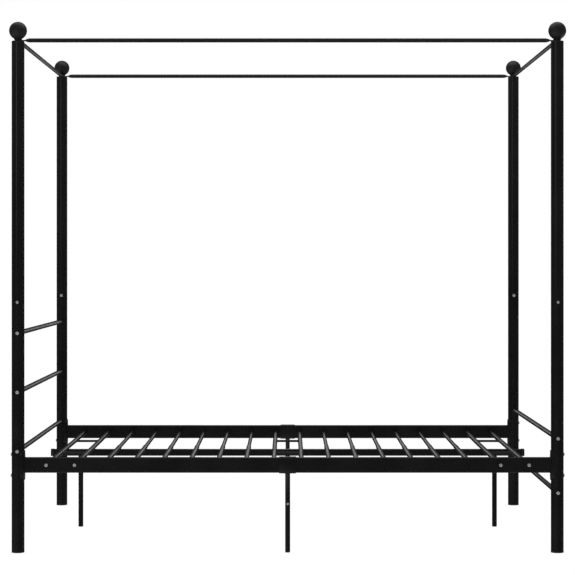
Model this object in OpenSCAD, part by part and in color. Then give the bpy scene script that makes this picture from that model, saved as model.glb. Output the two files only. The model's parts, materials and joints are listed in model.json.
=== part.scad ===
// Four poster canopy bed in black tube, for a 140 x 200 cm mattress.
// Millimetres. The origin is on the floor at the centre of the bed, +Z is up.
// +X points to the foot end and -X to the head end. -Y is a sleeper's right-hand side.

/* [Posts] */
// Distance between the post axes along the bed
post_span_x = 2038; // [1960:1:2240]
// Distance between the post axes across the bed
post_span_y = 1440; // [1340:1:1640]
// Outside diameter of the posts
post_d = 48; // [40:1:50]
// Height of the flat top of each post
post_top_z = 1933; // [1700:1:2100]
// Height where the upper post stands on the lower post
post_seam_z = 968; // [960:1:1100]

/* [Canopy] */
// Outside diameter of the canopy tubes
canopy_d = 16; // [12:1:20]
// Diameter of the ball finials
ball_d = 67.5; // [50:0.5:90]
// Width of the flattened ends of the canopy tubes
tongue_w = 26; // [20:1:30]
// Distance from a post axis to where a canopy tube is full round
taper_far = 46; // [44:1:70]

/* [Head and foot ends] */
// Outside diameter of the rails between the posts
cross_d = 19; // [16:1:22]
// Height of the lowest head rail
head_low_z = 383; // [383:1:390]
// Rise from one head rail to the next
head_step = 223; // [150:1:250]
// Heights of the two foot rails
foot_rail_z = [227, 431.5];

/* [Side rails] */
// Height of the side rails' tube
rail_h = 58; // [50:1:64]
// Thickness of the side rails' tube
rail_t = 25; // [22:1:32]
// Height of the side rails' centre line
rail_z = 330.5; // [329:0.5:333]
// Length of the sleeve that joins two rail halves
sleeve_len = 64; // [50:1:80]
// Height of the curved plate at each rail end
plate_h = 112; // [100:1:114]
// Rise from the rail's centre line to each plate bolt
plate_bolt_rise = 39.5; // [36:0.5:40]

/* [Slats] */
// Distance from one slat to the next
slat_pitch = 107.2; // [100:0.1:108]
// Outside diameter of the full slats and of the telescoping slats' outer tubes
slat_d = 19; // [17:0.5:20]
// Outside diameter of the telescoping slats' inner tubes
slat_inner_d = 16; // [13:0.5:16]
// Distance from the centre line to the short bars of the slat frames
frame_bar_y = 260; // [150:1:400]
// Diameter of the short bars
frame_bar_d = 10; // [6:1:12]

/* [Middle beam and legs] */
// Height of the middle beam's tube
beam_h = 27; // [20:1:30]
// Width of the middle beam's tube
beam_w = 25; // [20:1:30]
// Distance from the centre to each end of the beam, caps included
beam_reach = 981; // [950:1:985]
// Outside diameter of the middle legs
mid_leg_d = 20; // [16:1:24]
// Outside diameter of the side legs
side_leg_d = 19; // [18:1:22]
// Height of the seam in each side leg
leg_seam_z = 200; // [196:1:240]

/* [Hidden] */
$fn = 48;
eps = 0.5;                                   // overshoot of a cutting shape
gap = 0.15;                                  // clearance of one tube inside another
thread_gap = 0.05;                           // clearance of a thread, which is drawn plain
overlap = 0.2;                               // how far stacked shapes of one solid run into each other
end_room = 1;                                // room beyond the end of a bolt or a stud
tube_wall = 1.2;                             // wall of the steel tubes, bar the slats' outer tubes
post_x = post_span_x / 2;
post_y = post_span_y / 2;
post_r = post_d / 2;
post_bore = post_d - 2 * tube_wall;

foot_h = 5;                                  // post foot: flange height
foot_d = post_d + 1;
foot_plug_h = 16;
foot_plug_wall = 4;
cap_h = 4;                                   // post top plug: flange height
cap_edge_r = 3;
cap_plug_h = 18;
spigot_down = 90;                            // spigot in a post, below and above the seam
spigot_up = 60;
spigot_wall = 2;
joint_bolt_z = post_seam_z - 22.5;
joint_bolt_d = 6;
joint_head_d = 12.6;
joint_nut_d = 8;
joint_nut_head_d = 10;
joint_nut_head_h = 1.8;
joint_nut_len = 22;
joint_bolt_reach = 18;                       // how far past the post axis the bolt goes

tongue_t = 2 * tube_wall;                    // two walls of a crushed tube
tongue_hole_d = 8.5;
crush_slice = 1;                             // thickness of the slices that shape a crushed end
crush_step = 6;                              // from the flat to where the tube begins to swell
crush_swell = 1.5;                           // how much it has swollen there, above and below
crush_fn = 32;
taper_near = 26;                             // where the flattened end begins
canopy_z = post_top_z + 2;                   // centre line of the canopy tubes
low_tongue_z = post_top_z;                   // long tubes lie on the post tops
high_tongue_z = post_top_z + tongue_t;       // head and foot tubes lie on the long ones
ball_base_z = post_top_z + 2 * tongue_t;
ball_base_d = 31;
ball_base_h = 5;
ball_wall = 1.5;
ball_fn = 96;
ball_boss_d = 16;                            // boss round the stud, inside the ball
ball_boss_top = 26;                          // its top, above the ball's base
ball_z = ball_base_z + ball_d / 2;
stud_d = 8;
stud_above_plug_end = 2;
stud_in_ball = 18;
stud_low_z = post_top_z - cap_h - cap_plug_h + stud_above_plug_end;
stud_high_z = ball_base_z + stud_in_ball;

bolt_d = 8;
bolt_head_d = 12.8;
bolt_head_h = 3.6;
bolt_clear_d = 8.5;
hex_w = 5;                                   // socket in a bolt head, across flats
hex_depth = 2;
dome_flatness = 1.12;                        // flattens the dome of a bolt head
plug_len = 22;                               // threaded plug in a tube end
plug_d = cross_d - 2 * tube_wall - 2 * gap;
bolt_in_plug = 18;                           // how far a bolt goes into a plug
head_rail_z = [for (i = [0:2]) head_low_z + i * head_step];

plate_t = 3.2;
plate_w = 42;
plate_corner_r = 18;
plate_r = post_r + plate_t;
bolt_past_plate = 0.6;
rail_corner_r = 4;
rail_in_y = post_y - rail_t / 2;             // inner face of a side rail
rail_out_y = post_y + rail_t / 2;
sleeve_gap = 0.3;
sleeve_wall = 2.2;
sleeve_h = rail_h + 2 * (sleeve_gap + sleeve_wall);
sleeve_t = rail_t + 2 * (sleeve_gap + sleeve_wall);

slat_side = 9;                               // slats on each side of the centre
slat_in_rail = 10;                           // how far a slat end goes into its rail
slat_end_y = rail_in_y + slat_in_rail;
slide_gap = 0.1;                             // round an inner tube in an outer tube
slat_wall = (slat_d - slat_inner_d) / 2 - slide_gap;
slat_lap = 130;                              // inner tube inside the outer tube
slat_hole_gap = 0.4;
bar_in_slat = 2;                             // from a slat's centre line to where a bar ends before it is cut

beam_z = rail_z - slat_d / 2 - beam_h / 2;   // the slats rest on the beam
beam_bottom_z = beam_z - beam_h / 2;
beam_corner_r = 2.5;
beam_cap_len = 12;
beam_cap_lip = 1;
beam_plug_len = 14;
beam_plug_corner_r = 1;
splice_len = 160;
frame_x = (slat_side - 1) * slat_pitch;      // centre of an end slat frame
leg_cap_h = 6;
leg_plug_h = 12;
leg_plug_wall = 3;
leg_top_t = 6;                               // disc welded into a middle leg's top
leg_stud_low = 14;
leg_stud_up = 12;
leg_bore = side_leg_d - 2 * tube_wall;
leg_spigot_d = leg_bore - 2 * gap;
leg_spigot_down = 60;
leg_screw_z = leg_seam_z - 15.7;
leg_screw_d = 5;
leg_screw_head_d = 9;
leg_screw_head_h = 2.4;
leg_screw_len = 6;

steel = "#1b1b1d";
plastic = "#151515";
zinc = "#a9aaac";

// ---- plain shapes ----

// A round tube or rod along Z from z0 to z1; a bore of 0 makes a rod.
module tube(d, bore, z0, z1) {
    translate([0, 0, z0]) difference() {
        cylinder(d = d, h = z1 - z0);
        if (bore > 0) translate([0, 0, -eps]) cylinder(d = bore, h = z1 - z0 + 2 * eps);
    }
}

// The same along Y, from y0 to y1.
module tube_y(d, bore, y0, y1) {
    rotate([-90, 0, 0]) tube(d, bore, y0, y1);
}

// The same along X, from x0 to x1.
module tube_x(d, bore, x0, x1) {
    rotate([0, 90, 0]) tube(d, bore, x0, x1);
}

// A rectangle with round corners, centred.
module round_rect(w, h, r) {
    square([w - 2 * r, h], center = true);
    square([w, h - 2 * r], center = true);
    for (x = [-1, 1], y = [-1, 1]) translate([x * (w / 2 - r), y * (h / 2 - r)]) circle(r = r);
}

// A rectangular tube along X, t across and h high, from x0 to x1.
module box_tube(t, h, r, wall, x0, x1) {
    translate([x0, 0, 0]) rotate([90, 0, 90]) difference() {
        linear_extrude(x1 - x0) round_rect(t, h, r);
        translate([0, 0, -eps]) linear_extrude(x1 - x0 + 2 * eps)
            round_rect(t - 2 * wall, h - 2 * wall, r - wall);
    }
}

// Puts a shape that is drawn for the head right corner at another corner.
module corner(end, side) {
    mirror([end > 0 ? 1 : 0, 0, 0]) mirror([0, side > 0 ? 1 : 0, 0])
        translate([-post_x, -post_y, 0]) children();
}

module all_corners() {
    for (end = [-1, 1], side = [-1, 1]) corner(end, side) children();
}

// A button head that stands on z = 0 and points up, with a hex socket.
module button_head(d, h) {
    dome_r = (d * d / 4 + h * h) / (2 * h) * dome_flatness;
    difference() {
        intersection() {
            cylinder(d = d, h = h);
            translate([0, 0, h - dome_r]) sphere(r = dome_r);
        }
        translate([0, 0, h - hex_depth]) cylinder(d = hex_w / cos(30), h = hex_depth + eps, $fn = 6);
    }
}

// A bolt with its head above z = 0 and its shank below.
module bolt(d, len, head_d, head_h) {
    button_head(head_d, head_h);
    translate([0, 0, -len]) cylinder(d = d, h = len + overlap);
}

// ---- posts ----

module lower_post(end, side) {
    rails = end < 0 ? head_rail_z : foot_rail_z;
    color(steel) corner(end, side) difference() {
        tube(post_d, post_bore, foot_h, post_seam_z);
        for (z = rails) translate([0, 0, z]) tube_y(bolt_clear_d, 0, -post_d, post_d);
        for (rise = [-1, 1]) translate([0, 0, rail_z + rise * plate_bolt_rise])
            tube_x(bolt_clear_d, 0, -post_d, post_d);
        translate([0, 0, joint_bolt_z]) tube_y(joint_nut_d + 2 * gap, 0, -post_d, post_d);
    }
}

module upper_post(end, side) {
    color(steel) corner(end, side) tube(post_d, post_bore, post_seam_z, post_top_z - cap_h);
}

module post_spigots() {
    spigot_d = post_bore - 2 * gap;
    color(steel) all_corners() difference() {
        tube(spigot_d, spigot_d - 2 * spigot_wall, post_seam_z - spigot_down, post_seam_z + spigot_up);
        translate([0, 0, joint_bolt_z]) tube_y(joint_nut_d + 2 * gap, 0, -post_d, post_d);
    }
}

// The head is on the side that faces the mattress.
module post_joint_bolts() {
    color(zinc) all_corners() translate([0, post_r, joint_bolt_z]) rotate([-90, 0, 0])
        bolt(joint_bolt_d, post_r + joint_bolt_reach, joint_head_d, bolt_head_h);
}

module post_joint_nuts() {
    color(zinc) all_corners() translate([0, -post_r, joint_bolt_z]) rotate([-90, 0, 0]) difference() {
        union() {
            translate([0, 0, -joint_nut_head_h]) cylinder(d = joint_nut_head_d, h = joint_nut_head_h + eps);
            cylinder(d = joint_nut_d, h = joint_nut_len);
        }
        translate([0, 0, post_r - joint_bolt_reach - end_room])
            cylinder(d = joint_bolt_d + 2 * thread_gap, h = joint_nut_len);
    }
}

module post_feet() {
    color(plastic) all_corners() {
        tube(foot_d, 0, 0, foot_h);
        tube(post_bore - 2 * gap, post_bore - 2 * foot_plug_wall, foot_h - overlap, foot_h + foot_plug_h);
    }
}

module post_top_plugs() {
    rim_r = post_r - cap_edge_r;
    color(plastic) all_corners() difference() {
        union() {
            tube(post_bore - 2 * gap, 0, post_top_z - cap_h - cap_plug_h, post_top_z - cap_h + overlap);
            translate([0, 0, post_top_z - cap_h]) rotate_extrude() {
                square([rim_r, cap_h]);
                square([post_r, cap_h - cap_edge_r]);
                translate([rim_r, cap_h - cap_edge_r]) intersection() {
                    circle(r = cap_edge_r);
                    square(cap_edge_r);
                }
            }
        }
        tube(stud_d + 2 * thread_gap, 0, post_top_z - cap_h - cap_plug_h - eps, post_top_z + eps);
    }
}

// ---- canopy ----

// A hollow ball with a base and a threaded boss inside.
module ball_finial(end, side) {
    color(steel) corner(end, side) difference() {
        union() {
            difference() {
                intersection() {
                    translate([0, 0, ball_z]) sphere(d = ball_d, $fn = ball_fn);
                    translate([0, 0, ball_base_z]) cylinder(d = 2 * ball_d, h = 2 * ball_d);
                }
                translate([0, 0, ball_z]) sphere(d = ball_d - 2 * ball_wall, $fn = ball_fn);
            }
            tube(ball_base_d, 0, ball_base_z, ball_base_z + ball_base_h);
            tube(ball_boss_d, 0, ball_base_z, ball_base_z + ball_boss_top);
        }
        tube(stud_d + 2 * thread_gap, 0, ball_base_z - eps, stud_high_z + end_room);
    }
}

module finial_studs() {
    color(zinc) all_corners() tube(stud_d, 0, stud_low_z, stud_high_z);
}

// One end of a canopy tube, at the post that stands at x = 0; the tube goes off along +X.
module tongue(tongue_z) {
    difference() {
        union() {
            translate([0, 0, tongue_z]) cylinder(d = tongue_w, h = tongue_t);
            translate([0, -tongue_w / 2, tongue_z]) cube([taper_near, tongue_w, tongue_t]);
            hull() {
                translate([taper_near - crush_slice, -tongue_w / 2, tongue_z])
                    cube([crush_slice, tongue_w, tongue_t]);
                translate([taper_near + crush_step, -tongue_w / 2 + crush_swell, tongue_z - crush_swell])
                    cube([crush_slice, tongue_w - 2 * crush_swell, tongue_t + 2 * crush_swell]);
                translate([taper_far - crush_slice, 0, canopy_z]) rotate([0, 90, 0])
                    cylinder(d = canopy_d, h = crush_slice, $fn = crush_fn);
            }
        }
        translate([0, 0, tongue_z - eps]) cylinder(d = tongue_hole_d, h = tongue_t + 2 * eps);
    }
}

// A canopy tube between two posts that stand span apart, centred, along X.
module canopy_tube(span, tongue_z) {
    color(steel) {
        translate([0, 0, canopy_z])
            tube_x(canopy_d, canopy_d - 2 * tube_wall, -span / 2 + taper_far, span / 2 - taper_far);
        for (end = [0, 1]) mirror([end, 0, 0]) translate([-span / 2, 0, 0]) tongue(tongue_z);
    }
}

module long_canopy_tube(side) {
    translate([0, side * post_y, 0]) canopy_tube(post_span_x, low_tongue_z);
}

module end_canopy_tube(end) {
    translate([end * post_x, 0, 0]) rotate([0, 0, 90]) canopy_tube(post_span_y, high_tongue_z);
}

// ---- rails between the posts at the head and the foot ----

// Its ends are cut to the round of the posts.
module cross_rail(end, z) {
    color(steel) translate([end * post_x, 0, z]) difference() {
        tube_y(cross_d, cross_d - 2 * tube_wall, -post_y + post_r / 2, post_y - post_r / 2);
        for (side = [-1, 1]) translate([0, side * post_y, 0]) tube(post_d, 0, -cross_d, cross_d);
    }
}

module at_cross_rail_ends() {
    for (end = [-1, 1], side = [-1, 1]) corner(end, side)
        for (z = end < 0 ? head_rail_z : foot_rail_z) translate([0, 0, z]) children();
}

module cross_rail_plugs() {
    color(steel) at_cross_rail_ends() difference() {
        tube_y(plug_d, bolt_d + 2 * thread_gap, post_r / 2, post_r + plug_len);
        tube(post_d, 0, -cross_d, cross_d);
    }
}

module cross_rail_bolts() {
    color(zinc) at_cross_rail_ends() translate([0, -post_r, 0]) rotate([90, 0, 0])
        bolt(bolt_d, post_d + bolt_in_plug, bolt_head_d, bolt_head_h);
}

// ---- side rails ----

// Half of a side rail, drawn on the right side and from the head post to the centre.
module side_rail(end, side) {
    hole_d = (side < 0 ? slat_d : slat_inner_d) + slat_hole_gap;
    color(steel) mirror([end > 0 ? 1 : 0, 0, 0]) mirror([0, side > 0 ? 1 : 0, 0])
        translate([0, -post_y, rail_z]) difference() {
            box_tube(rail_t, rail_h, rail_corner_r, tube_wall, -post_x + post_r / 2, 0);
            translate([-post_x, 0, 0]) tube(2 * plate_r, 0, -rail_h, rail_h);
            for (i = [0:slat_side - 3]) translate([-(i + 0.5) * slat_pitch, 0, 0])
                tube_y(i == 0 ? slat_d + slat_hole_gap : hole_d, 0, 0, rail_t);
            for (i = [slat_side - 2:slat_side - 1]) translate([-(i + 0.5) * slat_pitch, 0, 0])
                tube_y(bolt_clear_d, 0, -rail_t, rail_t);
        }
}

// A plate that hugs the post; its outline is a rectangle with round corners.
module rail_end_plates() {
    color(steel) all_corners() translate([0, 0, rail_z]) difference() {
        intersection() {
            tube(2 * plate_r, post_d, -plate_h, plate_h);
            rotate([90, 0, 90]) linear_extrude(2 * post_d) round_rect(plate_w, plate_h, plate_corner_r);
        }
        for (rise = [-1, 1]) translate([0, 0, rise * plate_bolt_rise])
            tube_x(bolt_d + 2 * thread_gap, 0, 0, post_d);
    }
}

module rail_end_bolts() {
    color(zinc) all_corners() for (rise = [-1, 1])
        translate([-post_r, 0, rail_z + rise * plate_bolt_rise]) rotate([0, -90, 0])
            bolt(bolt_d, post_d + plate_t + bolt_past_plate, bolt_head_d, bolt_head_h);
}

// The sleeve over both rail halves.
module rail_sleeve(side) {
    color(steel) translate([0, side * post_y, rail_z])
        box_tube(sleeve_t, sleeve_h, rail_corner_r + sleeve_wall, sleeve_wall,
            -sleeve_len / 2, sleeve_len / 2);
}

module at_side_legs() {
    for (side = [0, 1]) mirror([0, side, 0]) translate([0, -post_y, 0]) children();
}

// The hole for a leg's screw, in the side that faces outwards.
module leg_screw_hole() {
    translate([0, 0, leg_screw_z]) tube_y(leg_screw_d + 2 * gap, 0, -side_leg_d, 0);
}

// The short tube welded under a sleeve, with a spigot that goes down into the leg.
module side_leg_sockets() {
    color(steel) at_side_legs() difference() {
        union() {
            tube(side_leg_d, 0, leg_seam_z, rail_z - sleeve_h / 2);
            tube(leg_spigot_d, 0, leg_seam_z - leg_spigot_down, leg_seam_z + end_room);
        }
        tube(leg_spigot_d - 2 * tube_wall, 0, 0, rail_z - sleeve_h / 2 + eps);
        leg_screw_hole();
    }
}

module side_leg(side) {
    color(steel) mirror([0, side > 0 ? 1 : 0, 0]) translate([0, -post_y, 0]) difference() {
        tube(side_leg_d, leg_bore, leg_cap_h, leg_seam_z);
        leg_screw_hole();
    }
}

module side_leg_screws() {
    color(zinc) at_side_legs() translate([0, -side_leg_d / 2, leg_screw_z]) rotate([90, 0, 0])
        bolt(leg_screw_d, leg_screw_len, leg_screw_head_d, leg_screw_head_h);
}

// ---- slats ----

// The two full slats of a frame.
module slat_frame(x, half_len) {
    color(steel) for (end = [-1, 1]) translate([x + end * slat_pitch / 2, 0, rail_z])
        tube_y(slat_d, slat_d - 2 * tube_wall, -half_len, half_len);
}

// The short bars welded between the two slats of each frame, cut to the round of the slats.
module slat_frame_bars() {
    color(steel) for (x = [-frame_x, 0, frame_x], side = [-1, 1])
        translate([x, side * frame_bar_y, rail_z]) difference() {
            tube_x(frame_bar_d, 0, -slat_pitch / 2 + bar_in_slat, slat_pitch / 2 - bar_in_slat);
            for (end = [-1, 1]) translate([end * slat_pitch / 2, 0, 0]) tube_y(slat_d, 0, -slat_d, slat_d);
        }
}

module at_bolted_slat_ends() {
    for (end = [0, 1], side = [0, 1], i = [1, 2]) mirror([end, 0, 0]) mirror([0, side, 0])
        translate([-(slat_side - i + 0.5) * slat_pitch, -rail_in_y, rail_z]) children();
}

module slat_frame_plugs() {
    color(steel) at_bolted_slat_ends()
        tube_y(slat_d - 2 * tube_wall - 2 * gap, bolt_d + 2 * thread_gap, 0, plug_len);
}

module slat_frame_bolts() {
    color(zinc) at_bolted_slat_ends() translate([0, -rail_t, 0]) rotate([90, 0, 0])
        bolt(bolt_d, rail_t + bolt_in_plug, bolt_head_d, bolt_head_h);
}

// The telescoping slats: the outer tube is on the right, the inner tube on the left.
module slat_outer_tubes(end) {
    color(steel) for (i = [1:slat_side - 3]) translate([end * (i + 0.5) * slat_pitch, 0, rail_z])
        tube_y(slat_d, slat_d - 2 * slat_wall, -slat_end_y, 0);
}

module slat_inner_tubes(end) {
    color(steel) for (i = [1:slat_side - 3]) translate([end * (i + 0.5) * slat_pitch, 0, rail_z])
        tube_y(slat_inner_d, slat_inner_d - 2 * tube_wall, -slat_lap, slat_end_y);
}

// ---- middle beam and legs ----

module middle_beam(end) {
    color(steel) mirror([end > 0 ? 1 : 0, 0, 0]) difference() {
        translate([0, 0, beam_z])
            box_tube(beam_w, beam_h, beam_corner_r, tube_wall, -beam_reach + beam_cap_len, 0);
        for (x = [0, -frame_x]) translate([x, 0, 0])
            tube(bolt_d + 2 * thread_gap, 0, beam_bottom_z - eps, beam_z);
    }
}

module middle_beam_splice() {
    inset = 2 * (tube_wall + gap);
    color(steel) difference() {
        translate([0, 0, beam_z])
            box_tube(beam_w - inset, beam_h - inset, beam_corner_r, tube_wall,
                -splice_len / 2, splice_len / 2);
        tube(bolt_d + 2 * thread_gap, 0, beam_bottom_z - eps, beam_z);
    }
}

module middle_beam_caps() {
    inset = 2 * (tube_wall + gap);
    color(plastic) for (end = [0, 1]) mirror([end, 0, 0]) translate([-beam_reach, 0, beam_z])
        rotate([90, 0, 90]) {
            linear_extrude(beam_cap_len)
                round_rect(beam_w + 2 * beam_cap_lip, beam_h + 2 * beam_cap_lip, beam_corner_r + beam_cap_lip);
            translate([0, 0, beam_cap_len - overlap]) linear_extrude(beam_plug_len)
                round_rect(beam_w - inset, beam_h - inset, beam_plug_corner_r);
        }
}

module middle_leg(x) {
    color(steel) translate([x, 0, 0]) difference() {
        tube(mid_leg_d, 0, leg_cap_h, beam_bottom_z);
        tube(mid_leg_d - 2 * tube_wall, 0, leg_cap_h - eps, beam_bottom_z - leg_top_t);
        tube(bolt_d + 2 * thread_gap, 0, beam_bottom_z - leg_top_t - eps, beam_bottom_z + eps);
    }
}

module middle_leg_studs() {
    color(zinc) for (x = [-frame_x, 0, frame_x]) translate([x, 0, 0])
        tube(bolt_d, 0, beam_bottom_z - leg_stud_low, beam_bottom_z + leg_stud_up);
}

// A flanged plug for the end of a leg of diameter d.
module leg_foot(d) {
    tube(d, 0, 0, leg_cap_h);
    tube(d - 2 * tube_wall - 2 * gap, d - 2 * (tube_wall + leg_plug_wall), leg_cap_h - overlap,
        leg_cap_h + leg_plug_h);
}

module leg_feet() {
    color(plastic) {
        for (x = [-frame_x, 0, frame_x]) translate([x, 0, 0]) leg_foot(mid_leg_d);
        for (side = [-1, 1]) translate([0, side * post_y, 0]) leg_foot(side_leg_d);
    }
}

// ---- the parts ----

lower_post(-1, -1);  // lower_post_head_right
lower_post(-1, 1);  // lower_post_head_left
lower_post(1, -1);  // lower_post_foot_right
lower_post(1, 1);  // lower_post_foot_left
upper_post(-1, -1);  // upper_post_head_right
upper_post(-1, 1);  // upper_post_head_left
upper_post(1, -1);  // upper_post_foot_right
upper_post(1, 1);  // upper_post_foot_left
ball_finial(-1, -1);  // ball_finial_head_right
ball_finial(-1, 1);  // ball_finial_head_left
ball_finial(1, -1);  // ball_finial_foot_right
ball_finial(1, 1);  // ball_finial_foot_left
finial_studs();
post_top_plugs();
post_feet();
post_spigots();
post_joint_bolts();
post_joint_nuts();
long_canopy_tube(-1);  // canopy_tube_right
long_canopy_tube(1);  // canopy_tube_left
end_canopy_tube(-1);  // canopy_tube_head
end_canopy_tube(1);  // canopy_tube_foot
cross_rail(-1, head_rail_z[0]);  // head_rail_low
cross_rail(-1, head_rail_z[1]);  // head_rail_middle
cross_rail(-1, head_rail_z[2]);  // head_rail_top
cross_rail(1, foot_rail_z[0]);  // foot_rail_low
cross_rail(1, foot_rail_z[1]);  // foot_rail_top
cross_rail_bolts();
cross_rail_plugs();
side_rail(-1, -1);  // side_rail_right_head
side_rail(1, -1);  // side_rail_right_foot
side_rail(-1, 1);  // side_rail_left_head
side_rail(1, 1);  // side_rail_left_foot
rail_end_plates();
rail_end_bolts();
rail_sleeve(-1);  // rail_sleeve_right
rail_sleeve(1);  // rail_sleeve_left
side_leg_sockets();
side_leg(-1);  // side_leg_right
side_leg(1);  // side_leg_left
side_leg_screws();
slat_frame(-frame_x, rail_in_y);  // slat_frame_head
slat_frame(0, slat_end_y);  // slat_frame_centre
slat_frame(frame_x, rail_in_y);  // slat_frame_foot
slat_frame_bars();
slat_frame_plugs();
slat_frame_bolts();
slat_outer_tubes(-1);  // slat_outer_tubes_head
slat_outer_tubes(1);  // slat_outer_tubes_foot
slat_inner_tubes(-1);  // slat_inner_tubes_head
slat_inner_tubes(1);  // slat_inner_tubes_foot
middle_beam(-1);  // middle_beam_head
middle_beam(1);  // middle_beam_foot
middle_beam_splice();
middle_beam_caps();
middle_leg(-frame_x);  // middle_leg_head
middle_leg(0);  // middle_leg_centre
middle_leg(frame_x);  // middle_leg_foot
middle_leg_studs();
leg_feet();
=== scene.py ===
import json
import math
import bmesh
import bpy
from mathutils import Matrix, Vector


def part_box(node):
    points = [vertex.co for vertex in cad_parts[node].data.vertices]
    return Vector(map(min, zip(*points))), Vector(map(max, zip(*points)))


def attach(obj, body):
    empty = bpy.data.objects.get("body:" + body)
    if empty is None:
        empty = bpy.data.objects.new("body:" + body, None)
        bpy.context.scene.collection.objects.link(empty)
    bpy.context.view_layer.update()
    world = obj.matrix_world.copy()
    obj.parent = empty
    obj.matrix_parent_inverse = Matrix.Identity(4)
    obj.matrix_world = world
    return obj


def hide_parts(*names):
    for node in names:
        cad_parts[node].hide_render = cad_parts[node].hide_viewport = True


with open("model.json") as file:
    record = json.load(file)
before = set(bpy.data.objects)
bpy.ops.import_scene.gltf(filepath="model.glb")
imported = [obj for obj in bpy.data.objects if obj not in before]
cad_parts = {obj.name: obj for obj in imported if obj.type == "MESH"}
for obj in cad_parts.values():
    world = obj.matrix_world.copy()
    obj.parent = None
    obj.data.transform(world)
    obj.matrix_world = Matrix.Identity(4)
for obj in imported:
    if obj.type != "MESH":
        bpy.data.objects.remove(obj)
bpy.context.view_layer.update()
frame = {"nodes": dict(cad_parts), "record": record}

mm = 0.001
near = 0.01 * mm  # two levels closer than this count as one
squareOn = 0.99  # a normal with this much along an axis faces that way
posts = {"head_right": (-1, -1), "head_left": (-1, 1), "foot_right": (1, -1), "foot_left": (1, 1)}


def middle(node):
    low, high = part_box(node)
    return (low + high) / 2


def size(node):
    low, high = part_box(node)
    return high - low


def postAxis(corner):
    spot = middle("lower_post_" + corner)
    return Vector((spot.x, spot.y, 0))


# sizes and places that several pieces share
postRadius = size("upper_post_head_right").x / 2
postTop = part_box("post_top_plugs")[1].z
jointHeight = middle("post_joint_bolts").z
railHeight = middle("side_rail_right_head").z
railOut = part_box("side_rail_left_head")[1].y
slatRadius = size("slat_frame_centre").z / 2
slatPitch = size("slat_frame_centre").x - 2 * slatRadius
sideLegRadius = size("side_leg_right").x / 2
sideLegPlace = abs(middle("side_leg_right").y)
plateThickness = 3.2 * mm

view = {"place": (0.0, -8.124, 1.103), "focal length": 122.64, "shift": (-0.00026, -0.04696), "sensor": 36,
        "far end": 200}
# the back one is as far behind the bed as the camera is in front of it, so that each tube that runs across
# carries one clean line of light
softboxes = {
    "top softbox": {"place": (0, 0.4, 4.6), "aim": (0, 0, 0), "width": 5.0, "height": 3.6, "radiance": 1.1},
    "front softbox": {"place": (-3.2, -6.5, 2.6), "aim": (0, 0, 0.8), "width": 2.0, "height": 2.4,
                      "radiance": 0.55},
    "back softbox": {"place": (0, 8.0, 1.1), "aim": (0, 0, 1.1), "width": 1.4, "height": 1.4, "radiance": 0.42},
}

scene = bpy.context.scene
scene.view_settings.view_transform = "Standard"

cameraData = bpy.data.cameras.new("camera")
cameraData.sensor_width = view["sensor"]
cameraData.lens = view["focal length"]
cameraData.shift_x, cameraData.shift_y = view["shift"]
cameraData.clip_end = view["far end"]
camera = bpy.data.objects.new("camera", cameraData)
scene.collection.objects.link(camera)
camera.location = view["place"]
camera.rotation_euler = (math.radians(90), 0, 0)
scene.camera = camera


def hangSoftbox(name, look):
    lampData = bpy.data.lights.new(name, "AREA")
    lampData.shape = "RECTANGLE"
    lampData.size = look["width"]
    lampData.size_y = look["height"]
    lampData.energy = look["radiance"] * math.pi * look["width"] * look["height"]
    lamp = bpy.data.objects.new(name, lampData)
    scene.collection.objects.link(lamp)
    lamp.location = look["place"]
    lamp.rotation_euler = (Vector(look["aim"]) - Vector(look["place"])).to_track_quat("-Z", "Y").to_euler()
    lamp.visible_camera = False


for name, look in softboxes.items():
    hangSoftbox(name, look)
print("camera and lights are up")


class Wire:
    # a socket that takes part in sums; each operator adds one Math node
    def __init__(self, finish, socket):
        self.finish = finish
        self.socket = socket

    def maths(self, operation, first, second):
        return self.finish.add("ShaderNodeMath", {"operation": operation}, {0: first, 1: second})["Value"]

    def __add__(self, other):
        return self.maths("ADD", self, other)

    def __radd__(self, other):
        return self.maths("ADD", other, self)

    def __sub__(self, other):
        return self.maths("SUBTRACT", self, other)

    def __rsub__(self, other):
        return self.maths("SUBTRACT", other, self)

    def __mul__(self, other):
        return self.maths("MULTIPLY", self, other)

    def __rmul__(self, other):
        return self.maths("MULTIPLY", other, self)


class Outputs:
    # a node's outputs, by name or number
    def __init__(self, finish, node):
        self.finish = finish
        self.node = node

    def __getitem__(self, name):
        return Wire(self.finish, self.node.outputs[name])


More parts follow.
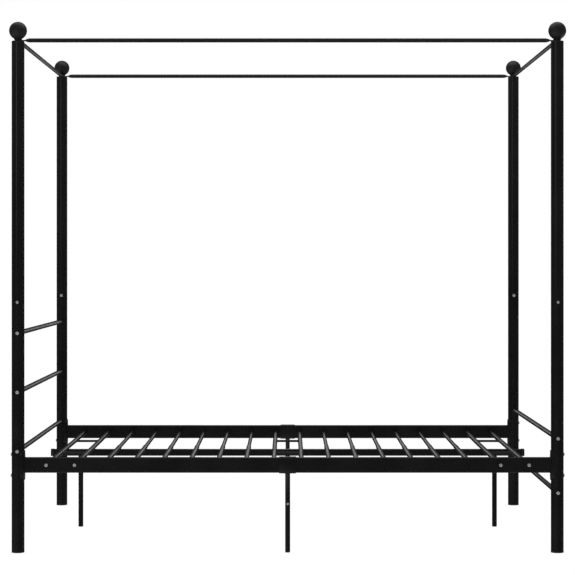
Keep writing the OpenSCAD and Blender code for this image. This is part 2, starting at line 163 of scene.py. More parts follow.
class Finish:
    # one material, or the world, and the way its nodes are added
    def __init__(self, name, tree=None):
        if tree is None:
            self.material = bpy.data.materials.new(name)
            self.material.use_nodes = True
            tree = self.material.node_tree
        self.tree = tree
        self.tree.nodes.clear()

    def add(self, kind, settings=None, sockets=None):
        node = self.tree.nodes.new(kind)
        for name, value in (settings or {}).items():
            setattr(node, name, value)
        for name, value in (sockets or {}).items():
            if isinstance(value, Wire):
                self.tree.links.new(value.socket, node.inputs[name])
            else:
                node.inputs[name].default_value = value
        return Outputs(self, node)

    def onPiece(self):
        return self.add("ShaderNodeTexCoord")["Object"]

    def noise(self, at, grainSize, detail=2.0, roughness=0.5):
        return self.add("ShaderNodeTexNoise", {}, {"Vector": at, "Scale": 1 / grainSize, "Detail": detail,
                                                   "Roughness": roughness})["Fac"]

    def spread(self, value, low, high, newLow=0.0, newHigh=1.0):
        return self.add("ShaderNodeMapRange", {"clamp": True},
                        {"Value": value, "From Min": low, "From Max": high,
                         "To Min": newLow, "To Max": newHigh})["Result"]

    def mix(self, share, first, second):
        # the colour sockets of a Mix node have numbers, because their names repeat
        first, second = (one if isinstance(one, Wire) else (*one, 1) for one in (first, second))
        return self.add("ShaderNodeMix", {"data_type": "RGBA"}, {"Factor": share, 6: first, 7: second})[2]

    def edgeMask(self, reach, samples=4, flat=0.98, sharp=0.80):
        # 0 on open faces, near 1 on a sharp outer edge, from the rounded and the true normal
        rounded = self.add("ShaderNodeBevel", {"samples": samples}, {"Radius": reach})["Normal"]
        true = self.add("ShaderNodeNewGeometry")["Normal"]
        alike = self.add("ShaderNodeVectorMath", {"operation": "DOT_PRODUCT"}, {0: rounded, 1: true})["Value"]
        return self.spread(alike, flat, sharp)

    def close(self, colour, rough, relief, look, metallic=0.0):
        # the nodes that end the finish of every piece
        bump = self.add("ShaderNodeBump", {}, {"Strength": look["relief"], "Distance": look["depth"],
                                               "Height": relief})["Normal"]
        shader = self.add("ShaderNodeBsdfPrincipled", {}, {"Base Color": colour, "Roughness": rough,
                                                           "Metallic": metallic, "Normal": bump})["BSDF"]
        self.add("ShaderNodeOutputMaterial", {}, {"Surface": shader})
        return self.material


def toned(colour, share):
    return tuple(share * part for part in colour)


powder = {"colour": (0.0080, 0.0080, 0.0086), "deep": 0.72, "light": 1.35, "worn": (0.026, 0.026, 0.028),
          "wear": 0.6, "edge": 1.2 * mm, "roughness": 0.21, "pebble": 1.5 * mm, "depth": 0.065 * mm,
          "relief": 0.55, "cloud": 160 * mm, "rub": 9 * mm}


def powderCoat(name, look):
    finish = Finish(name)
    at = finish.onPiece()
    pebble = finish.noise(at, look["pebble"], detail=1.5, roughness=0.45)
    grain = finish.noise(at, look["pebble"] / 4, detail=1.0)
    cloud = finish.noise(at, look["cloud"], detail=3.0, roughness=0.55)
    rub = finish.noise(at, look["rub"], detail=4.0, roughness=0.6)
    wear = finish.edgeMask(look["edge"]) * finish.spread(rub, 0.42, 0.62)
    shade = finish.spread(cloud, 0.3, 0.7, 0.0, 0.5) + finish.spread(grain, 0.35, 0.7, 0.0, 0.35)
    paint = finish.mix(shade, toned(look["colour"], look["deep"]), toned(look["colour"], look["light"]))
    colour = finish.mix(wear * look["wear"], paint, look["worn"])
    rough = look["roughness"] + finish.spread(cloud, 0.3, 0.7, -0.035, 0.035)
    rough = rough + (grain - 0.5) * 0.08 - wear * 0.08
    return finish.close(colour, rough, pebble + grain * 0.3, look)


moulded = {"colour": (0.012, 0.012, 0.0125), "deep": 0.8, "scuffed": (0.035, 0.035, 0.036), "scuff": 0.7,
           "edge": 1.0 * mm, "roughness": 0.5, "grain": 0.6 * mm, "depth": 0.03 * mm, "relief": 0.5,
           "flow": 14 * mm, "rub": 5 * mm}


def mouldedPlastic(name, look):
    finish = Finish(name)
    at = finish.onPiece()
    grain = finish.noise(at, look["grain"], detail=3.0, roughness=0.6)
    flow = finish.noise(at, look["flow"])
    rub = finish.noise(at, look["rub"], detail=3.0)
    scuff = finish.edgeMask(look["edge"]) * finish.spread(rub, 0.4, 0.65)
    body = finish.mix(flow, toned(look["colour"], look["deep"]), look["colour"])
    colour = finish.mix(scuff * look["scuff"], body, look["scuffed"])
    rough = look["roughness"] + (flow - 0.5) * 0.12 + (grain - 0.5) * 0.1
    return finish.close(colour, rough, grain, look)


plated = {"bright": (0.74, 0.75, 0.76), "dull": (0.50, 0.505, 0.51), "edge": 0.6 * mm, "rubbed": 0.5,
          "roughness": 0.34, "metallic": 0.45, "brush": 0.5 * mm, "depth": 0.012 * mm, "relief": 0.5,
          "patch": 4 * mm}


def zincPlate(name, look):
    finish = Finish(name)
    at = finish.onPiece()
    streak = finish.noise(at, look["brush"], detail=4.0, roughness=0.65)
    patch = finish.noise(at, look["patch"])
    cloudy = finish.spread(patch * 0.6 + streak * 0.4, 0.36, 0.64)
    colour = finish.mix(cloudy, look["dull"], look["bright"])
    colour = finish.mix(finish.edgeMask(look["edge"]) * look["rubbed"], colour, look["bright"])
    rough = look["roughness"] + (patch - 0.5) * 0.2 + (streak - 0.5) * 0.12
    return finish.close(colour, rough, streak, look, look["metallic"])


pale = {"darker": (0.10, 0.10, 0.10), "lighter": (0.12, 0.12, 0.12), "patch": 700 * mm, "roughness": 0.9,
        "glow": 1.0, "size": 120}


def paleFloor(name, look):
    finish = Finish(name)
    patch = finish.noise(finish.onPiece(), look["patch"])
    colour = finish.mix(patch, look["darker"], look["lighter"])
    shader = finish.add("ShaderNodeBsdfPrincipled", {}, {"Base Color": colour, "Roughness": look["roughness"],
                                                         "Specular IOR Level": 0.0,
                                                         "Emission Color": (1, 1, 1, 1),
                                                         "Emission Strength": look["glow"]})["BSDF"]
    finish.add("ShaderNodeOutputMaterial", {}, {"Surface": shader})
    return finish.material


bySlot = {"black_powder_coat": powderCoat("black powder coat", powder),
          "black_finial": powderCoat("black finial coat", {**powder, "roughness": 0.48, "pebble": 2.2 * mm}),
          "black_plastic": mouldedPlastic("black moulded plastic", moulded),
          "zinc_steel": zincPlate("zinc plated steel", plated)}
print("finishes are mixed")

# strengths, and the ways between which each part of the room fades in, from -1 straight down to 1 straight up;
# the last is along Y, because the sky is dimmer behind the bed
studio = {"backdrop": 1.0, "surround": 0.07, "below": 0.02, "horizon": (-0.005, 0.025), "near floor": 0.12,
          "near floor starts": (-0.15, -0.26), "floor pools": 0.6, "pool heading": 40, "sky": 0.19,
          "sky foot": (0.10, 0.30), "sky top": (0.95, 0.55), "sky behind": (0.75, 0.2, 0.3, 1.0)}
world = bpy.data.worlds.new("studio")
scene.world = world
world.use_nodes = True


def lightRoom():
    # white for the camera; for the steel a dim room with a soft sky, over a pale floor that is lit in two pools
    room = Finish("room", world.node_tree)
    way = room.add("ShaderNodeSeparateXYZ", {}, {"Vector": room.add("ShaderNodeTexCoord")["Generated"]})
    above = room.spread(way["Z"], *studio["horizon"])
    steep = room.spread(way["Z"], *studio["near floor starts"])
    heading = math.radians(studio["pool heading"])
    along = way["X"] * math.cos(heading) + way["Y"] * math.sin(heading)
    nearFloor = studio["near floor"] + along * along * studio["floor pools"]
    sky = room.spread(way["Z"], *studio["sky foot"]) * room.spread(way["Z"], *studio["sky top"])
    sky = sky * room.spread(way["Y"], *studio["sky behind"])
    level = studio["below"] + above * (studio["surround"] - studio["below"])
    level = level + steep * (nearFloor - studio["below"]) + sky * studio["sky"]
    glow = room.add("ShaderNodeBackground", {}, {"Color": (1, 1, 1, 1), "Strength": level})["Background"]
    white = room.add("ShaderNodeBackground", {}, {"Color": (1, 1, 1, 1),
                                                  "Strength": studio["backdrop"]})["Background"]
    seen = room.add("ShaderNodeLightPath")["Is Camera Ray"]
    both = room.add("ShaderNodeMixShader", {}, {"Fac": seen, 1: glow, 2: white})["Shader"]
    room.add("ShaderNodeOutputWorld", {}, {"Surface": both})


lightRoom()


def nothingSelected():
    if bpy.context.mode != "OBJECT":
        bpy.ops.object.mode_set(mode="OBJECT")
    bpy.ops.object.select_all(action="DESELECT")


def selectOnly(piece):
    nothingSelected()
    piece.select_set(True)
    bpy.context.view_layer.objects.active = piece


def settle(piece):
    # the object goes to the origin and its place into its mesh
    selectOnly(piece)
    bpy.ops.object.transform_apply(location=True, rotation=True, scale=True)


def named(name):
    # the primitive that was just added gets its name and is settled
    piece = bpy.context.object
    piece.name = name
    settle(piece)
    return piece


def edit(piece):
    selectOnly(piece)
    bpy.ops.object.mode_set(mode="EDIT")
    bpy.ops.mesh.select_mode(type="FACE")
    bpy.ops.mesh.select_all(action="DESELECT")


def leaveEdit():
    bpy.ops.object.mode_set(mode="OBJECT")


def pickFaces(piece, test):
    bpy.ops.mesh.select_mode(type="FACE")
    mesh = bmesh.from_edit_mesh(piece.data)
    for face in mesh.faces:
        face.select_set(bool(test(face.calc_center_median(), face.normal)))
    bmesh.update_edit_mesh(piece.data)


def pickEdges(piece, test):
    bpy.ops.mesh.select_mode(type="EDGE")
    mesh = bmesh.from_edit_mesh(piece.data)
    for edge in mesh.edges:
        edge.select_set(bool(test(edge.verts[0].co, edge.verts[1].co)))
    bmesh.update_edit_mesh(piece.data)


def pickPoints(piece, test):
    bpy.ops.mesh.select_mode(type="VERT")
    mesh = bmesh.from_edit_mesh(piece.data)
    for point in mesh.verts:
        point.select_set(bool(test(point.co)))
    mesh.select_flush(True)
    bmesh.update_edit_mesh(piece.data)


def upward(at, normal):
    return normal.z > squareOn


def downward(at, normal):
    return normal.z < -squareOn


def lengthways(a, b):
    # an edge that runs along X
    return abs(a.x - b.x) > 5 * mm


def roundRim(piece, level, width, segments):
    # rounds the edges that lie at this height
    pickEdges(piece, lambda a, b: abs(a.z - level) < near and abs(b.z - level) < near)
    bpy.ops.mesh.bevel(offset=width, segments=segments, affect="EDGES")


def addRod(name, radius, length, centre, turn=(0, 0, 0), sides=32):
    nothingSelected()
    bpy.ops.mesh.primitive_cylinder_add(vertices=sides, radius=radius, depth=length, location=centre,
                                        rotation=[math.radians(angle) for angle in turn])
    return named(name)


def addCylinder(name, radius, low, high, x=0.0, y=0.0, sides=48):
    return addRod(name, radius, high - low, (x, y, (low + high) / 2), sides=sides)


def addBox(name, extent, centre):
    nothingSelected()
    bpy.ops.mesh.primitive_cube_add(size=1, location=centre)
    bpy.context.object.scale = extent
    return named(name)


def grow(step, scale=(1, 1, 1), about=(0, 0, 0)):
    # extrudes the picked face and resizes its new rim
    bpy.ops.mesh.extrude_region_move(TRANSFORM_OT_translate={"value": step})
    if scale != (1, 1, 1):
        bpy.ops.transform.resize(value=scale, center_override=about)


def turnProfile(ring, steps, about=(0, 0, 0)):
    # draws the picked round face on, each step by a rise and a new radius, as on a lathe
    for rise, newRing in steps:
        grow((0, 0, rise), (newRing / ring, newRing / ring, 1), about)
        ring = newRing


def applied(piece, modifier):
    selectOnly(piece)
    bpy.ops.object.modifier_apply(modifier=modifier.name)


def cut(piece, tool, operation="DIFFERENCE"):
    # boolean with a tool that is then thrown away
    knife = piece.modifiers.new("cut", "BOOLEAN")
    knife.operation = operation
    knife.object = tool
    knife.solver = "EXACT"
    applied(piece, knife)
    bpy.data.objects.remove(tool, do_unlink=True)


def mirrorUp(piece):
    # the half above z = 0 gets its twin below
    other = piece.modifiers.new("other half", "MIRROR")
    other.use_axis = (False, False, True)
    other.merge_threshold = near
    applied(piece, other)


def softenEdges(piece, width, segments, angle):
    soft = piece.modifiers.new("soft edges", "BEVEL")
    soft.width = width
    soft.segments = segments
    soft.limit_method = "ANGLE"
    soft.angle_limit = math.radians(angle)
    applied(piece, soft)


def tidyNormals(piece):
    edit(piece)
    bpy.ops.mesh.select_all(action="SELECT")
    bpy.ops.mesh.remove_doubles(threshold=near / 10)
    bpy.ops.mesh.normals_make_consistent(inside=False)
    leaveEdit()


def smooth(piece, angle):
    selectOnly(piece)
    bpy.ops.object.shade_smooth_by_angle(angle=math.radians(angle))


def joinPieces(pieces, name):
    nothingSelected()
    for piece in pieces:
        piece.select_set(True)
    bpy.context.view_layer.objects.active = pieces[0]
    bpy.ops.object.join()
    joined = bpy.context.object
    joined.name = name
    return joined


def copyOf(piece, name, move, turn=(0, 0, 0)):
    copied = piece.copy()
    copied.data = piece.data.copy()
    copied.name = name
    scene.collection.objects.link(copied)
    copied.location = move
    copied.rotation_euler = [math.radians(angle) for angle in turn]
    settle(copied)
    return copied


def finishPiece(piece, slot, node):
    piece.data.materials.clear()
    piece.data.materials.append(bySlot[slot])
    piece.data.name = piece.name
    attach(piece, "root")
    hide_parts(node)


# ball finials, each with a short neck that spreads to a collar on the post
ball = {"segments": 72, "rings": 48, "neck radius": 15.0 * mm, "neck blend": 0.6 * mm, "neck top": 0.35,
        "neck foot": 0.25 * mm, "collar radius": 15.5 * mm, "collar height": 1.5 * mm,
        "collar slope": 0.35 * mm, "collar edge": 0.3 * mm, "bore radius": 4.05 * mm, "bore depth": 19 * mm}


def makeFinial(corner):
    low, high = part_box("ball_finial_" + corner)
    radius = (high.x - low.x) / 2
    centre = Vector(((low.x + high.x) / 2, (low.y + high.y) / 2, high.z - radius))
    nothingSelected()
    bpy.ops.mesh.primitive_uv_sphere_add(segments=ball["segments"], ring_count=ball["rings"], radius=radius,
                                         location=centre)
    finial = named("ball_finial_" + corner + "_turned")
    start = ball["neck radius"] + ball["neck blend"]
    meet = centre.z - math.sqrt(radius ** 2 - start ** 2)  # where the ball ends in its neck
    edit(finial)
    bpy.ops.mesh.select_all(action="SELECT")
    bpy.ops.mesh.bisect(plane_co=(0, 0, meet), plane_no=(0, 0, 1), clear_inner=True, use_fill=True)
    pickFaces(finial, lambda at, normal: abs(at.z - meet) < near)
    collar, edge = ball["collar radius"], ball["collar edge"]
    straight = meet - low.z - ball["collar height"]
    turnProfile(start, [(-ball["neck top"] * straight, ball["neck radius"]),
                        (-(1 - ball["neck top"]) * straight, ball["neck radius"] + ball["neck foot"]),
                        (-ball["collar slope"], collar),
                        (-(ball["collar height"] - ball["collar slope"] - edge), collar),
                        (-edge, collar - edge),
                        (0, ball["bore radius"]),
                        (ball["bore depth"], ball["bore radius"])], (centre.x, centre.y, 0))
    leaveEdit()
    tidyNormals(finial)
    smooth(finial, angle=40)
    return finial


for corner in posts:
    finishPiece(makeFinial(corner), "black_finial", "ball_finial_" + corner)
print("finials are turned")

# plugs in the post tops
plug = {"sides": 72, "edge": 2.6 * mm, "rim height": 4 * mm, "set in": 1.45 * mm, "straight": 3 * mm,
        "taper": 0.94, "hole": 4.05 * mm, "drill past": 5 * mm}


def makePlug(corner):
    low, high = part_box("post_top_plugs")
    axis = postAxis(corner)
    rim = high.z - plug["rim height"]
    part = addCylinder("plug", postRadius, rim, high.z, axis.x, axis.y, plug["sides"])
    edit(part)
    roundRim(part, high.z, plug["edge"], segments=5)
    pickFaces(part, downward)
    body = postRadius - plug["set in"]
    turnProfile(postRadius, [(0, body), (-plug["straight"], body),
                             (low.z - rim + plug["straight"], body * plug["taper"])], axis)
    leaveEdit()
    cut(part, addCylinder("drill", plug["hole"], low.z - plug["drill past"], high.z + plug["drill past"],
                          axis.x, axis.y, sides=24))
    return part


plugs = joinPieces([makePlug(corner) for corner in posts], "post_top_plugs_moulded")
tidyNormals(plugs)
smooth(plugs, angle=40)
finishPiece(plugs, "black_plastic", "post_top_plugs")

# feet under the posts and under the legs, each with a hollow body up in its tube
postFoot = {"sides": 72, "height": 5 * mm, "bottom round": 1.4 * mm, "top round": 0.7 * mm, "set in": 1.9 * mm,
            "body height": 16 * mm}
legFoot = {"sides": 40, "height": 6 * mm, "bottom round": 1.5 * mm, "top round": 0.5 * mm, "set in": 1.35 * mm,
           "body height": 12 * mm}
footBody = {"lead": 2 * mm, "lead taper": 0.93, "hollow": 0.8, "bottom": 1 * mm}


def makeFoot(look, radius, spot):
    part = addCylinder("foot", radius, 0, look["height"], spot.x, spot.y, look["sides"])
    edit(part)
    roundRim(part, 0, look["bottom round"], segments=4)
    roundRim(part, look["height"], look["top round"], segments=3)
    pickFaces(part, upward)
    body = radius - look["set in"]
    tip = body * footBody["lead taper"]
    bore = tip * footBody["hollow"]
    turnProfile(radius - look["top round"], [(0, body), (look["body height"] - footBody["lead"], body),
                                             (footBody["lead"], tip), (0, bore),
                                             (footBody["bottom"] - look["body height"], bore)],
                (spot.x, spot.y, 0))
    leaveEdit()
    return part


def finishFeet(feet, node):
    joined = joinPieces(feet, node + "_moulded")
    tidyNormals(joined)
    smooth(joined, angle=40)
    finishPiece(joined, "black_plastic", node)


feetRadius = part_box("post_feet")[1].x - postAxis("foot_right").x
finishFeet([makeFoot(postFoot, feetRadius, postAxis(corner)) for corner in posts], "post_feet")
legs = ("middle_leg_head", "middle_leg_centre", "middle_leg_foot", "side_leg_right", "side_leg_left")
finishFeet([makeFoot(legFoot, size(leg).x / 2, middle(leg)) for leg in legs], "leg_feet")
print("plugs and feet are moulded")

# canopy tubes with crushed ends, which lie on each other on the post tops
tubeEnd = {"sides": 40, "round until": 46 * mm, "flat from": 25 * mm, "half width": 13 * mm, "steps": 9,
           "curve": 1.9, "pressed past": 0.3 * mm, "nose step": 12, "nose end": 85, "hole": 4.25 * mm,
           "drill": 60 * mm}
flatThick = (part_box("ball_finial_head_right")[0].z - postTop) / 2


def makeCanopyTube(node, span, flatHeight, heading):
    # drawn standing on its middle, with the canopy's up along +X
    spot = middle(node)
    radius = size(node).z / 2
    halfWidth = tubeEnd["half width"]
    stand = span / 2 - tubeEnd["round until"]
    tube = addCylinder(node + "_crushed", radius, 0, stand, sides=tubeEnd["sides"])
    edit(tube)
    pickFaces(tube, downward)
    bpy.ops.mesh.delete(type="FACE")
    pickFaces(tube, upward)
    advance = (tubeEnd["round until"] - tubeEnd["flat from"]) / tubeEnd["steps"]
    wide, thick, rise = radius, radius, 0.0
    for step in range(1, tubeEnd["steps"] + 1):
        share = step / tubeEnd["steps"]
        eased = share ** tubeEnd["curve"]
        newThick = flatThick / 2 + (radius - flatThick / 2) * (1 - eased)
        newWide = radius + (halfWidth - radius) * math.sin(share * math.pi / 2)
        newRise = (flatHeight - spot.z) * eased
        grow((newRise - rise, 0, advance), (newThick / thick, newWide / wide, 1), (newRise, 0, 0))
        wide, thick, rise = newWide, newThick, newRise
        stand += advance
    # the last ring is pressed flat above and below, then the flat runs on past the post's axis
    for side in (-1, 1):
        pickPoints(tube, lambda at: at.z > stand - near and side * (at.x - rise) > tubeEnd["pressed past"])
        bpy.ops.transform.resize(value=(0, 1, 1), center_override=(rise + side * thick, 0, 0))
    pickFaces(tube, lambda at, normal: normal.z > squareOn and at.z > stand - near)
    grow((0, 0, span / 2 - stand))
    past, wide = 0.0, halfWidth
    for angle in range(tubeEnd["nose step"], tubeEnd["nose end"], tubeEnd["nose step"]):
        newPast = halfWidth * math.sin(math.radians(angle))
        newWide = halfWidth * math.cos(math.radians(angle))
        grow((0, 0, newPast - past), (1, newWide / wide, 1))
        past, wide = newPast, newWide
    leaveEdit()
    cut(tube, addRod("drill", tubeEnd["hole"], tubeEnd["drill"], (0, 0, span / 2), (0, 90, 0)))
    mirrorUp(tube)
    # laid down: the drawn +Z goes along the tube and the drawn +X goes up
    tube.rotation_euler = (0, math.radians(-90), math.radians(heading))
    settle(tube)
    tube.location = spot
    settle(tube)
    tidyNormals(tube)
    smooth(tube, angle=50)
    return tube


spanX = postAxis("foot_right").x - postAxis("head_right").x
spanY = postAxis("head_left").y - postAxis("head_right").y
for sides, span, layer, heading in ((("right", "left"), spanX, 0.5, 0), (("head", "foot"), spanY, 1.5, 90)):
    for side in sides:
        node = "canopy_tube_" + side
        tube = makeCanopyTube(node, span, postTop + layer * flatThick, heading)
        finishPiece(tube, "black_powder_coat", node)
print("canopy tubes are drawn")

# bolts, nuts and screws, all modelled with the head up and its seat on z = 0
railBolt = {"head radius": 6.4 * mm, "head height": 3.6 * mm, "shank radius": 4 * mm, "in plug": 18 * mm,
            "past plate": 0.6 * mm}
jointBolt = {"head radius": 6.3 * mm, "head height": 3.6 * mm, "shank radius": 3 * mm, "length": 42 * mm}
legScrew = {"head radius": 4.5 * mm, "head height": 2.4 * mm, "shank radius": 2.5 * mm, "length": 6 * mm}
# the dome's rim, flat and socket are shares of the head's height or width, its steps are in degrees
dome = {"tip": 0.5 * mm, "seat edge": 0.3 * mm, "rim": 0.25, "first": 15, "last": 75, "step": 12, "flat": 0.40,
        "fullness": 0.9, "socket": 0.390625, "socket depth": 2 * mm}
jointNut = {"head radius": 5 * mm, "head height": 1.8 * mm, "barrel radius": 4 * mm, "length": 22 * mm,
            "edge": 0.5 * mm, "socket": 4 * mm, "socket depth": 1.4 * mm, "thread radius": 3.05 * mm,
            "thread stops": 5 * mm}


def sinkSocket(part, width, bottom):
    # a hexagon of this width across its flats, cut from above down to its bottom
    corner = width / 2 / math.cos(math.radians(30))
    cut(part, addCylinder("wrench", corner, bottom, bottom + 4 * mm, sides=6))


def makeBolt(look, length):
    shank, head, height = look["shank radius"], look["head radius"], look["head height"]
    part = addCylinder("bolt", shank, -length, 0, sides=36)
    edit(part)
    roundRim(part, -length, dome["tip"], segments=1)
    pickFaces(part, upward)
    edge, rim = dome["seat edge"], dome["rim"] * height
    steps = [(0, head - edge), (edge, head), (rim - edge, head)]
    level = rim
    for angle in range(dome["first"], dome["last"] + 1, dome["step"]):
        share = math.sin(math.radians(angle)) / math.sin(math.radians(dome["last"]))
        newLevel = rim + (height - rim) * share
        fall = math.cos(math.radians(angle)) ** dome["fullness"]
        steps.append((newLevel - level, head * (dome["flat"] + (1 - dome["flat"]) * fall)))
        level = newLevel
    turnProfile(shank, steps)
    leaveEdit()
    sinkSocket(part, dome["socket"] * 2 * head, height - dome["socket depth"])
    tidyNormals(part)
    return part


def makeNut(look):
    part = addCylinder("nut", look["barrel radius"], -look["length"], 0, sides=36)
    edit(part)
    pickFaces(part, upward)
    head, edge = look["head radius"], look["edge"]
    turnProfile(look["barrel radius"], [(0, head), (look["head height"] - edge, head),
                                        (0.6 * edge, head - 0.35 * edge), (0.4 * edge, head - edge)])
    leaveEdit()
    sinkSocket(part, look["socket"], look["head height"] - look["socket depth"])
    cut(part, addCylinder("drill", look["thread radius"], -look["length"] - 1 * mm, -look["thread stops"],
                          sides=24))
    tidyNormals(part)
    return part


facing = {"-x": (0, -90, 0), "+x": (0, 90, 0), "-y": (90, 0, 0), "+y": (-90, 0, 0)}


def layOut(model, node, ending, spots):
    # a copy of the model at each spot, turned to face the given way, all as one piece
    copies = [copyOf(model, node, spot, facing[way]) for spot, way in spots]
    bpy.data.objects.remove(model, do_unlink=True)
    piece = joinPieces(copies, node + ending)
    smooth(piece, angle=32)
    finishPiece(piece, "zinc_steel", node)


crossHeights = {-1: [middle("head_rail_" + name).z for name in ("low", "middle", "top")],
                1: [middle("foot_rail_" + name).z for name in ("low", "top")]}
plateRise = size("rail_end_bolts").z / 2 - railBolt["head radius"]
screwHeight = middle("side_leg_screws").z

crossSpots, plateSpots, jointSpots, nutSpots = [], [], [], []
for corner, (end, side) in posts.items():
    axis = postAxis(corner)
    outward, inward = ("-y", "+y") if side < 0 else ("+y", "-y")
    outFace, inFace = axis.y + side * postRadius, axis.y - side * postRadius
    for height in crossHeights[end]:
        crossSpots.append(((axis.x, outFace, height), outward))
    for rise in (-plateRise, plateRise):
        plateSpots.append(((axis.x + end * postRadius, axis.y, railHeight + rise), "-x" if end < 0 else "+x"))
    jointSpots.append(((axis.x, inFace, jointHeight), inward))
    nutSpots.append(((axis.x, outFace, jointHeight), outward))
boltedSlats = (7, 8)  # the outermost two of the slats 0 to 8 on each side of the middle
slatSpots = [((end * (number + 0.5) * slatPitch, side * railOut, railHeight), "-y" if side < 0 else "+y")
             for end in (-1, 1) for side in (-1, 1) for number in boltedSlats]
screwSpots = [((0, side * (sideLegPlace + sideLegRadius), screwHeight), "-y" if side < 0 else "+y")
              for side in (-1, 1)]

railThickness = size("side_rail_right_head").y
crossBolt = makeBolt(railBolt, 2 * postRadius + railBolt["in plug"])
layOut(crossBolt, "cross_rail_bolts", "_domed", crossSpots)
plateBolt = makeBolt(railBolt, 2 * postRadius + plateThickness + railBolt["past plate"])
layOut(plateBolt, "rail_end_bolts", "_domed", plateSpots)
slatBolt = makeBolt(railBolt, railThickness + railBolt["in plug"])
layOut(slatBolt, "slat_frame_bolts", "_domed", slatSpots)
layOut(makeBolt(jointBolt, jointBolt["length"]), "post_joint_bolts", "_domed", jointSpots)
layOut(makeBolt(legScrew, legScrew["length"]), "side_leg_screws", "_domed", screwSpots)
layOut(makeNut(jointNut), "post_joint_nuts", "_capped", nutSpots)
print("bolts are in")

# curved plates at the side rails' ends, each with a weld bead round its rail
plate = {"sides": 120, "width": 42 * mm, "height": 112 * mm, "corner": 18 * mm, "edge": 1.1 * mm,
         "blank": 80 * mm, "bolt hole": 4.05 * mm, "drill": 60 * mm, "rail corner": 4 * mm}
weld = {"radius": 1.7 * mm, "stands off": 0.3 * mm, "lifts": 0.2 * mm, "spacing": 2 * mm, "corner points": 5,
        "ripple": 0.175, "short wave": 2.1, "long wave": 0.37}


def weldBead(points):
    # a round bead along the points, a little uneven as a hand-laid weld is
    line = bpy.data.curves.new("bead", "CURVE")
    line.dimensions = "3D"
    line.bevel_depth = weld["radius"]
    line.bevel_resolution = 2
    spline = line.splines.new("POLY")
    spline.points.add(len(points) - 1)
    spline.use_cyclic_u = True
    for number, (knot, at) in enumerate(zip(spline.points, points)):
        knot.co = (*at, 1)
        wave = math.sin(number * weld["short wave"]) * math.sin(number * weld["long wave"] + 1)
        knot.radius = 1 + weld["ripple"] * wave
    piece = bpy.data.objects.new("bead", line)
    scene.collection.objects.link(piece)
    selectOnly(piece)
    bpy.ops.object.convert(target="MESH")
    piece = bpy.context.object
    tidyNormals(piece)
    return piece


def roundRect(halfWide, halfHigh, radius):
    # points round a rectangle with round corners, across then up, with more of them along its sides
    outline = []
    for across, up, start in ((1, 1, 0), (-1, 1, 90), (-1, -1, 180), (1, -1, 270)):
        for step in range(weld["corner points"] + 1):
            angle = math.radians(start + 90 * step / weld["corner points"])
            outline.append((across * (halfWide - radius) + radius * math.cos(angle),
                            up * (halfHigh - radius) + radius * math.sin(angle)))
    filled = []
    for here, after in zip(outline, outline[1:] + outline[:1]):
        count = max(1, round(math.dist(here, after) / weld["spacing"]))
        for step in range(count):
            filled.append(tuple(a + (b - a) * step / count for a, b in zip(here, after)))
    return filled


def makePlate():
    # round a post that stands on the origin, reaching to +X, at the rail's height
    outside = postRadius + plateThickness
    part = addCylinder("plate", outside, -plate["height"], plate["height"], sides=plate["sides"])
    block = addBox("block", (plate["blank"], plate["width"], plate["height"]), (plate["blank"] / 2, 0, 0))
    edit(block)
    pickEdges(block, lengthways)
    bpy.ops.mesh.bevel(offset=plate["corner"], segments=10, affect="EDGES")
    leaveEdit()
    cut(part, block, "INTERSECT")
    cut(part, addCylinder("post", postRadius, -plate["height"], plate["height"], sides=plate["sides"]))
    for rise in (-plateRise, plateRise):
        centre = (plate["drill"] / 2, 0, rise)
        cut(part, addRod("drill", plate["bolt hole"], plate["drill"], centre, (0, 90, 0)))
    tidyNormals(part)
    softenEdges(part, plate["edge"], segments=3, angle=40)
    rail = size("side_rail_right_head")
    outline = roundRect(rail.y / 2 + weld["stands off"], rail.z / 2 + weld["stands off"], plate["rail corner"])
    bead = weldBead([(math.sqrt(outside ** 2 - across ** 2) + weld["lifts"], across, up)
                     for across, up in outline])
    return joinPieces([part, bead], "plate")


plateModel = makePlate()
plates = []
for corner, (end, side) in posts.items():
    axis = postAxis(corner)
    plates.append(copyOf(plateModel, "plate", (axis.x, axis.y, railHeight), (0, 0, 0 if end < 0 else 180)))
bpy.data.objects.remove(plateModel, do_unlink=True)
railPlates = joinPieces(plates, "rail_end_plates_welded")
smooth(railPlates, angle=38)
finishPiece(railPlates, "black_powder_coat", "rail_end_plates")

# sleeves in the middle of the side rails
sleeve = {"wall": 2.2 * mm, "corner": 6.2 * mm, "rim": 0.6 * mm}


def makeSleeve(node):
    part = addBox(node + "_folded", size(node), middle(node))
    edit(part)
    pickEdges(part, lengthways)
    bpy.ops.mesh.bevel(offset=sleeve["corner"], segments=7, affect="EDGES")
    pickFaces(part, lambda at, normal: abs(normal.x) > squareOn)
    bpy.ops.mesh.delete(type="FACE")
    leaveEdit()
    wall = part.modifiers.new("wall", "SOLIDIFY")
    wall.thickness = sleeve["wall"]
    wall.offset = -1
    wall.use_even_offset = True
    applied(part, wall)
    tidyNormals(part)
    softenEdges(part, sleeve["rim"], segments=2, angle=60)
    smooth(part, angle=35)
    return part


for side in ("right", "left"):
    finishPiece(makeSleeve("rail_sleeve_" + side), "black_powder_coat", "rail_sleeve_" + side)

# leg sockets welded under the sleeves; the weld's steps are shares of its size: rise, then spread
socket = {"sides": 48, "edge": 0.4 * mm, "weld": 2.6 * mm,
          "weld steps": ((0.5, 0.1), (0.35, 0.3), (0.25, 0.55), (0.2, 0.85), (0.1, 1.0)),
          "spigot radius": 8.15 * mm, "spigot lead": 1 * mm, "lead taper": 0.92, "bore": 6.95 * mm,
          "drill from": 100 * mm, "drill past": 10 * mm}


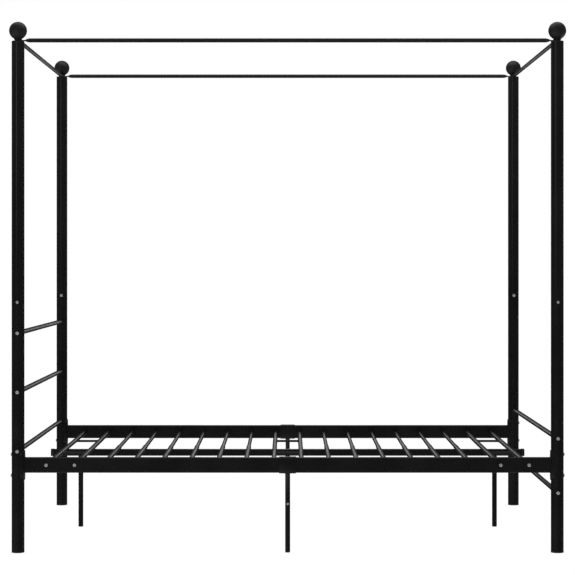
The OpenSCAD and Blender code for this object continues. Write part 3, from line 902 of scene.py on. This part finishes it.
def makeSocket(side):
    y = side * sideLegPlace
    about = (0, y, 0)
    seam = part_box("side_leg_right")[1].z
    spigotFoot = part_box("side_leg_sockets")[0].z
    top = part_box("rail_sleeve_right")[0].z
    spigot, edge = socket["spigot radius"], socket["edge"]
    weldFoot = top - socket["weld"] * sum(rise for rise, spread in socket["weld steps"])
    part = addCylinder("socket", sideLegRadius, seam + edge, weldFoot, 0, y, socket["sides"])
    edit(part)
    pickFaces(part, downward)
    turnProfile(sideLegRadius, [(-edge, sideLegRadius - edge), (0, spigot),
                                (spigotFoot + socket["spigot lead"] - seam, spigot),
                                (-socket["spigot lead"], spigot * socket["lead taper"])], about)
    pickFaces(part, lambda at, normal: normal.z > squareOn and at.z > seam)
    turnProfile(sideLegRadius, [(rise * socket["weld"], sideLegRadius + spread * socket["weld"])
                                for rise, spread in socket["weld steps"]], about)
    leaveEdit()
    cut(part, addCylinder("drill", socket["bore"], socket["drill from"], top + socket["drill past"], 0, y,
                          sides=40))
    tidyNormals(part)
    return part


sockets = joinPieces([makeSocket(-1), makeSocket(1)], "side_leg_sockets_welded")
smooth(sockets, angle=40)
finishPiece(sockets, "black_powder_coat", "side_leg_sockets")

# short bars welded between the slats of a frame; the weld's steps are as on the sockets
bar = {"sides": 28, "radius": size("slat_frame_bars").z / 2, "weld": 1.8 * mm, "weld starts": 2.2,
       "weld steps": ((0.8, 0.12), (0.6, 0.4), (0.5, 0.75), (0.5, 1.0), (1.6, 1.0)), "slat sides": 96,
       "slat length": 60 * mm}


def makeBars():
    half = slatPitch / 2
    meet = half - math.sqrt(slatRadius ** 2 - bar["radius"] ** 2)
    part = addCylinder("bar", bar["radius"], 0, meet - bar["weld starts"] * bar["weld"], sides=bar["sides"])
    edit(part)
    pickFaces(part, downward)
    bpy.ops.mesh.delete(type="FACE")
    pickFaces(part, upward)
    turnProfile(bar["radius"], [(rise * bar["weld"], bar["radius"] + spread * bar["weld"])
                                for rise, spread in bar["weld steps"]])
    leaveEdit()
    mirrorUp(part)
    tidyNormals(part)
    part.rotation_euler = (0, math.radians(90), 0)
    settle(part)
    for side in (-1, 1):
        centre = (side * half, 0, 0)
        cut(part, addRod("slat", slatRadius, bar["slat length"], centre, (90, 0, 0), bar["slat sides"]))
    frames = [middle("slat_frame_" + name).x for name in ("head", "centre", "foot")]
    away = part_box("slat_frame_bars")[1].y - bar["radius"]
    copies = [copyOf(part, "bar", (x, side * away, railHeight)) for x in frames for side in (-1, 1)]
    bpy.data.objects.remove(part, do_unlink=True)
    return joinPieces(copies, "slat_frame_bars_welded")


bars = makeBars()
tidyNormals(bars)
smooth(bars, angle=40)
finishPiece(bars, "black_powder_coat", "slat_frame_bars")

# caps on the ends of the middle beam
beamCap = {"length": 12 * mm, "edge": 2.2 * mm, "plug length": 12.3 * mm, "plug share": 0.83,
           "lead": 1.5 * mm, "lead taper": 0.9}


def makeCap(end):
    low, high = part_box("middle_beam_caps")
    height = (low.z + high.z) / 2
    face = high.x if end > 0 else low.x
    part = addBox("cap", (beamCap["length"], high.y - low.y, high.z - low.z),
                  (face - end * beamCap["length"] / 2, 0, height))
    edit(part)
    pickEdges(part, lambda a, b: lengthways(a, b) or (abs(a.x - face) < near and abs(b.x - face) < near))
    bpy.ops.mesh.bevel(offset=beamCap["edge"], segments=5, affect="EDGES")
    pickFaces(part, lambda at, normal: end * normal.x < -squareOn)
    about = (0, 0, height)
    grow((0, 0, 0), (1, beamCap["plug share"], beamCap["plug share"]), about)
    grow((-end * beamCap["plug length"], 0, 0))
    grow((-end * beamCap["lead"], 0, 0), (1, beamCap["lead taper"], beamCap["lead taper"]), about)
    leaveEdit()
    tidyNormals(part)
    return part


caps = joinPieces([makeCap(-1), makeCap(1)], "middle_beam_caps_moulded")
smooth(caps, angle=35)
finishPiece(caps, "black_plastic", "middle_beam_caps")
print("plates, sleeves, sockets, bars and caps are on")

# the CAD nodes that stay get their finish by slot
for part in frame["record"]["subparts"]:
    node = frame["nodes"][part["node"]]
    if not node.hide_render:
        node.data.materials.clear()
        node.data.materials.append(bySlot[part["material_slot"]])
print("the steel is coated")

nothingSelected()
bpy.ops.mesh.primitive_plane_add(size=pale["size"], location=(0, 0, 0))
floor = named("studio_floor")
floor.data.materials.append(paleFloor("pale floor", pale))
floor.visible_glossy = False
